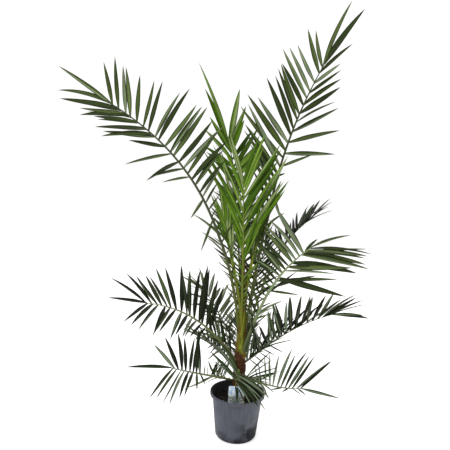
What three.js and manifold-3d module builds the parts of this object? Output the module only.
// A young date palm in a nursery pot, in millimetres with +Z up.
// The origin is the centre of the pot's flat underside. +X is the side that the tallest frond leans to,
// and -Y is the front, where the label card stands.

import * as THREE from 'three';
import { mergeVertices } from 'three/addons/utils/BufferGeometryUtils.js';
import Module from 'manifold-3d';

const wasm = await Module();
wasm.setup();

// ---------- driving dimensions ----------

// Air left between pieces that touch on the real plant.
const SEAT_GAP = 0.3;

// Pot: thin moulded wall, rolled rim, small chamfered foot.
const POT_HEIGHT = 220;
const RIM_RADIUS = 130;
const RIM_BAND = 17;
const RIM_ROUND = 3;
const BODY_TOP_RADIUS = 120;
const BODY_FOOT_RADIUS = 98;
const FOOT_RADIUS = 90;
const FOOT_RISE = 12;
const WALL = 3;
const FLOOR = 4;
const POT_SIDES = 56;

// Compost inside the pot.
const SOIL_LEVEL = 180;

// Trunk: a short fibrous stump that flares at the compost and leans a little towards +X.
const TRUNK_TOP = 425;
const TRUNK_FLARE_RADIUS = 41;
const FLARE_SHARE = 0.3;
const TRUNK_RADIUS = 28;
const TRUNK_TOP_RADIUS = 23;
const TRUNK_LEAN = 6;

// Heart: the leaf bases wrapped round the unopened spear above the trunk.
const HEART_TOP = 900;
const HEART_RADIUS = 18;
const HEART_SHARE = 0.62;
const SPEAR_RADIUS = 5;
const SPEAR_TIP_RADIUS = 2.5;

// Label card, standing in a slot in the compost.
const CARD = { width: 74, height: 118, thick: 1.2, setIn: 15, x: -8, y: -68, lean: 7, turn: 6 };

// Frond stalks and blades.
const STALK_HALF_WIDTH = 8;
const STALK_TAPER = 0.6;
const STALK_THICK = 7;
const RIB_THICK = 2.6;
const EDGE_THICK = 1.4;
const TIP_HALF_WIDTH = 4;
const FROND_STATIONS = 22;
const DROOP_POWER = 1.4;
const TWIST_SHARE = 0.4;
// Above 1 moves the widest place towards the tip; below 1 makes the outline blunter at both ends.
const OUTLINE_SHIFT = 1.08;
const OUTLINE_FULLNESS = 0.65;

// One entry a frond, with angles in degrees.
// facing: compass angle from +X, anticlockwise seen from above. foot: height where it leaves the plant.
// rise and end: its slope at the foot and at the tip of its rib. sweep: how far it turns sideways.
// length: the rib, to which reach adds the last leaflets. bare: stalk without leaflets.
// spread: half the blade's width. roll: twist about the rib. fold: how far each half is folded up.
const FRONDS = [
  { name: 'frond_high_left', tone: 'mature', facing: 196, foot: 500, rise: 83, end: 27,
    length: 1230, reach: 215, bare: 480, spread: 225, roll: 60, fold: 14, bow: 1.2 },
  { name: 'frond_high_right', tone: 'mature', facing: 352, foot: 500, rise: 84, end: 64, sweep: 3,
    length: 1290, reach: 265, bare: 520, spread: 190, roll: -70, fold: 12 },
  { name: 'frond_tall_back', tone: 'mature', facing: 125, foot: 560, rise: 89, end: 62,
    length: 850, reach: 400, bare: 420, spread: 150, roll: -10, fold: 4 },
  { name: 'frond_young_centre', tone: 'young', facing: 250, foot: 540, rise: 86, end: 80,
    length: 740, reach: 260, bare: 260, spread: 175, roll: 0, fold: 4 },
  { name: 'frond_arching_right', tone: 'mature', facing: 318, foot: 420, rise: 74, end: 35, sweep: -4,
    length: 660, reach: 230, bare: 240, spread: 235, roll: -35, fold: 4 },
  { name: 'frond_far_right', tone: 'shaded', facing: 40, foot: 420, rise: 77, end: 14, sweep: 12,
    length: 760, reach: 200, bare: 280, spread: 115, roll: -20, fold: 38 },
  { name: 'frond_low_right', tone: 'shaded', facing: 12, foot: 360, rise: 39, end: 9, sweep: -3,
    length: 530, reach: 150, bare: 110, spread: 150, roll: -6, fold: 50 },
  { name: 'frond_lowest_right', tone: 'shaded', facing: 335, foot: 300, rise: -9, end: 19,
    length: 290, reach: 210, bare: 80, spread: 160, roll: 10, fold: 52 },
  { name: 'frond_mid_left', tone: 'shaded', facing: 186, foot: 380, rise: 52, end: 2,
    length: 510, reach: 190, bare: 130, spread: 175, roll: 72, fold: 8 },
  { name: 'frond_low_left', tone: 'mature', facing: 205, foot: 280, rise: 17, end: 20,
    length: 330, reach: 210, bare: 110, spread: 158, roll: 80, fold: 6 },
  { name: 'frond_back_left', tone: 'shaded', facing: 132, foot: 420, rise: 45, end: 35,
    length: 360, reach: 190, bare: 90, spread: 130, roll: 20, fold: 20 },
  { name: 'frond_front', tone: 'mature', facing: 265, foot: 300, rise: 55, end: -10,
    length: 170, reach: 230, bare: 40, spread: 190, roll: -30, fold: 8 },
  { name: 'frond_back_right', tone: 'shaded', facing: 72, foot: 400, rise: 64, end: 38,
    length: 520, reach: 190, bare: 160, spread: 130, roll: 0, fold: 20 },
  { name: 'frond_back_upper', tone: 'mature', facing: 98, foot: 470, rise: 72, end: 30,
    length: 760, reach: 200, bare: 260, spread: 130, roll: 0, fold: 18 },
  { name: 'frond_back_left_low', tone: 'shaded', facing: 148, foot: 335, rise: 34, end: 12,
    length: 210, reach: 140, bare: 60, spread: 88, roll: 10, fold: 20 },
  { name: 'frond_back_low', tone: 'shaded', facing: 92, foot: 320, rise: 30, end: 5,
    length: 330, reach: 180, bare: 90, spread: 120, roll: 0, fold: 18 },
];

// ---------- materials ----------

const material = (color, roughness) => new THREE.MeshStandardMaterial({ color, roughness, metalness: 0 });
const FROND_COLOURS = { young: 0x4f8a1e, mature: 0x40592f, shaded: 0x2f4a30 };

// ---------- helpers ----------

const radians = THREE.MathUtils.degToRad;
const mix = THREE.MathUtils.lerp;

// Merges shared vertices and hands the closed mesh to the boolean library.
function toSolid(geometry) {
  const bare = geometry.clone();
  bare.deleteAttribute('normal');
  bare.deleteAttribute('uv');
  const merged = mergeVertices(bare, 1e-4);
  return new wasm.Manifold(new wasm.Mesh({
    numProp: 3,
    vertProperties: new Float32Array(merged.attributes.position.array),
    triVerts: new Uint32Array(merged.index.array),
  }));
}

// Brings a boolean result back as a three.js geometry, keeping only its largest piece.
function toGeometry(solid) {
  const pieces = solid.decompose().sort((a, b) => b.volume() - a.volume());
  const { vertProperties, triVerts } = pieces[0].getMesh();
  const geometry = new THREE.BufferGeometry();
  geometry.setAttribute('position', new THREE.BufferAttribute(vertProperties, 3));
  geometry.setIndex(new THREE.BufferAttribute(triVerts, 1));
  geometry.computeVertexNormals();
  return geometry;
}

// A closed skin over rings of equal point count, with both end rings closed flat.
function loft(rings) {
  const count = rings[0].length;
  const positions = rings.flat().flatMap((point) => point.toArray());
  const indices = [];
  for (let ring = 0; ring + 1 < rings.length; ring += 1) {
    for (let k = 0; k < count; k += 1) {
      const a = ring * count + k;
      const b = ring * count + ((k + 1) % count);
      indices.push(a, b, b + count, a, b + count, a + count);
    }
  }
  const last = (rings.length - 1) * count;
  for (let k = 1; k + 1 < count; k += 1) {
    indices.push(0, k + 1, k, last, last + k, last + k + 1);
  }
  const geometry = new THREE.BufferGeometry();
  geometry.setAttribute('position', new THREE.Float32BufferAttribute(positions, 3));
  geometry.setIndex(indices);
  geometry.computeVertexNormals();
  return geometry;
}

// A solid of revolution about Z from [radius, height] pairs, starting and ending on the axis.
function turned(profile, segments) {
  const points = profile.map(([radius, height]) => new THREE.Vector2(radius, height));
  return new THREE.LatheGeometry(points, segments).rotateX(Math.PI / 2);
}

// ---------- pot and what it holds ----------

const bodyRadius = (height) => (
  mix(BODY_FOOT_RADIUS, BODY_TOP_RADIUS, (height - FOOT_RISE) / (POT_HEIGHT - FOOT_RISE)));

function potGeometry() {
  const bandFoot = POT_HEIGHT - RIM_BAND;
  const outside = [
    [0, 0], [FOOT_RADIUS, 0],
    [mix(FOOT_RADIUS, bodyRadius(FOOT_RISE), 0.75), FOOT_RISE / 2], [bodyRadius(FOOT_RISE), FOOT_RISE],
    [bodyRadius(bandFoot), bandFoot], [RIM_RADIUS - RIM_ROUND, bandFoot],
    [RIM_RADIUS - RIM_ROUND / 2, bandFoot + RIM_ROUND / 2],
    [RIM_RADIUS, POT_HEIGHT - RIM_ROUND], [RIM_RADIUS - RIM_ROUND, POT_HEIGHT],
  ];
  const inside = [
    [RIM_RADIUS - 2 * RIM_ROUND, POT_HEIGHT], [RIM_RADIUS - 3 * RIM_ROUND, POT_HEIGHT - RIM_ROUND],
    [bodyRadius(bandFoot) - WALL, bandFoot],
    [bodyRadius(FOOT_RISE) - WALL, FOOT_RISE], [FOOT_RADIUS - WALL, FLOOR], [0, FLOOR],
  ];
  return turned([...outside, ...inside], POT_SIDES);
}

function cardGeometry(grow = 0) {
  const shape = new THREE.BoxGeometry(CARD.width + 2 * grow, CARD.thick + 2 * grow, CARD.height + 2 * grow);
  shape.translate(0, 0, CARD.height / 2 - CARD.setIn);
  shape.rotateX(radians(CARD.lean));
  shape.rotateZ(radians(CARD.turn));
  return shape.translate(CARD.x, CARD.y, SOIL_LEVEL);
}

function soilGeometry() {
  const inset = WALL + SEAT_GAP;
  const fill = turned([
    [0, FLOOR + SEAT_GAP], [FOOT_RADIUS - inset - SEAT_GAP, FLOOR + SEAT_GAP],
    [bodyRadius(FOOT_RISE) - inset - SEAT_GAP, FOOT_RISE],
    [bodyRadius(SOIL_LEVEL) - inset, SOIL_LEVEL], [0, SOIL_LEVEL],
  ], POT_SIDES);
  return toGeometry(toSolid(fill).subtract(toSolid(cardGeometry(SEAT_GAP))));
}

// ---------- trunk and heart ----------

const trunkRadius = (height) => {
  const up = (height - SOIL_LEVEL) / (TRUNK_TOP - SOIL_LEVEL);
  const flare = (TRUNK_FLARE_RADIUS - TRUNK_RADIUS) * Math.max(0, 1 - up / FLARE_SHARE) ** 2;
  return mix(TRUNK_RADIUS, TRUNK_TOP_RADIUS, up ** 3) + flare;
};
const leanAt = (height) => TRUNK_LEAN * Math.min(1, (height - SOIL_LEVEL) / (TRUNK_TOP - SOIL_LEVEL));
const heartRadius = (height) => {
  const up = (height - TRUNK_TOP) / (HEART_TOP - TRUNK_TOP);
  if (up < HEART_SHARE) return mix(HEART_RADIUS, SPEAR_RADIUS, (up / HEART_SHARE) ** 1.2);
  return mix(SPEAR_RADIUS, SPEAR_TIP_RADIUS, (up - HEART_SHARE) / (1 - HEART_SHARE));
};

// Rings stacked up the leaning axis, grown evenly by a margin when they cut a neighbour.
function column(bottom, top, radiusAt, steps, sides, grow = 0) {
  const rings = Array.from({ length: steps + 1 }, (_, step) => {
    const height = mix(bottom, top, step / steps);
    const lift = height + (step === 0 ? -grow : 0) + (step === steps ? grow : 0);
    const radius = radiusAt(height) + grow;
    return Array.from({ length: sides }, (__, side) => {
      const turn = (side / sides) * 2 * Math.PI;
      return new THREE.Vector3(leanAt(height) + radius * Math.cos(turn), radius * Math.sin(turn), lift);
    });
  });
  return loft(rings);
}

const trunkGeometry = (grow) => column(SOIL_LEVEL + SEAT_GAP, TRUNK_TOP, trunkRadius, 12, 24, grow);
const heartGeometry = (grow) => column(TRUNK_TOP + SEAT_GAP, HEART_TOP, heartRadius, 14, 16, grow);

// ---------- fronds ----------

const axisRadius = (height) => (height < TRUNK_TOP ? trunkRadius(height) : heartRadius(height));

// Follows the rib from its foot. The slope changes faster towards the tip; the last leaflets go straight on.
// The twist grows over the first part of the rib, and is whole from there on.
function ribFrames({ facing, foot, rise, end, sweep = 0, length, reach, roll, bow = DROOP_POWER }) {
  const total = length + reach;
  const step = total / (FROND_STATIONS - 1);
  const turn = radians(facing);
  const inset = axisRadius(foot) - STALK_THICK / 2;
  const point = new THREE.Vector3(leanAt(foot) + inset * Math.cos(turn), inset * Math.sin(turn), foot);
  return Array.from({ length: FROND_STATIONS }, (_, station) => {
    const along = Math.min(1, (station * step) / length);
    const slope = radians(mix(rise, end, along ** bow));
    const heading = turn + radians(sweep * along);
    const tangent = new THREE.Vector3(
      Math.cos(slope) * Math.cos(heading), Math.cos(slope) * Math.sin(heading), Math.sin(slope));
    const side = new THREE.Vector3(-Math.sin(heading), Math.cos(heading), 0);
    side.applyAxisAngle(tangent, radians(roll) * Math.min(1, along / TWIST_SHARE));
    const up = new THREE.Vector3().crossVectors(tangent, side);
    const frame = { at: point.clone(), tangent, side, up, distance: station * step };
    point.addScaledVector(tangent, step);
    return frame;
  });
}

// Half the blade's width at a distance along it: a tapering stalk, then a rounded leaf outline.
function halfWidth({ length, reach, bare, spread }, distance) {
  const total = length + reach;
  const blade = (distance - bare) / (total - bare);
  if (blade <= 0) return mix(STALK_HALF_WIDTH, STALK_HALF_WIDTH * STALK_TAPER, distance / bare);
  const outline = Math.sin(Math.PI * Math.min(1, blade) ** OUTLINE_SHIFT);
  return TIP_HALF_WIDTH + spread * outline ** OUTLINE_FULLNESS;
}

// A thin folded blade: two halves that meet at the rib, over a thicker stalk.
function frondGeometry(spec) {
  const total = spec.length + spec.reach;
  const tilt = radians(spec.fold);
  const rings = ribFrames(spec).map(({ at, side, up, distance }) => {
    const half = halfWidth(spec, distance);
    const stalk = Math.max(0, 1 - distance / spec.bare);
    const ribThick = mix(mix(RIB_THICK, EDGE_THICK, distance / total), STALK_THICK, stalk);
    const edgeThick = mix(EDGE_THICK, STALK_THICK / 2, stalk);
    const folded = distance < spec.bare ? 0 : tilt;
    const edge = (sign, lift) => at.clone()
      .addScaledVector(side, sign * half * Math.cos(folded))
      .addScaledVector(up, half * Math.sin(folded) + lift);
    return [
      edge(1, edgeThick / 2), at.clone().addScaledVector(up, ribThick / 2), edge(-1, edgeThick / 2),
      edge(-1, -edgeThick / 2), at.clone().addScaledVector(up, -ribThick / 2), edge(1, -edgeThick / 2),
    ];
  });
  return loft(rings);
}

// ---------- assembly ----------

const palm = new THREE.Group();

function add(name, geometry, finish) {
  const mesh = new THREE.Mesh(geometry, finish);
  mesh.name = name;
  palm.add(mesh);
}

add('pot', potGeometry(), material(0x5b5e68, 0.7));
add('soil', soilGeometry(), material(0x2a211c, 1));
add('trunk', trunkGeometry(), material(0x5a2d12, 0.95));
add('heart', heartGeometry(), material(0x6b7a1e, 0.6));
add('label_card', cardGeometry(), material(0xc9d6de, 0.5));

// Each stalk's foot is cut back to the trunk and heart that it grows from.
const core = toSolid(trunkGeometry(SEAT_GAP)).add(toSolid(heartGeometry(SEAT_GAP)));
for (const spec of FRONDS) {
  const blade = toSolid(frondGeometry(spec)).subtract(core);
  add(spec.name, toGeometry(blade), material(FROND_COLOURS[spec.tone], 0.55));
}

export default palm;
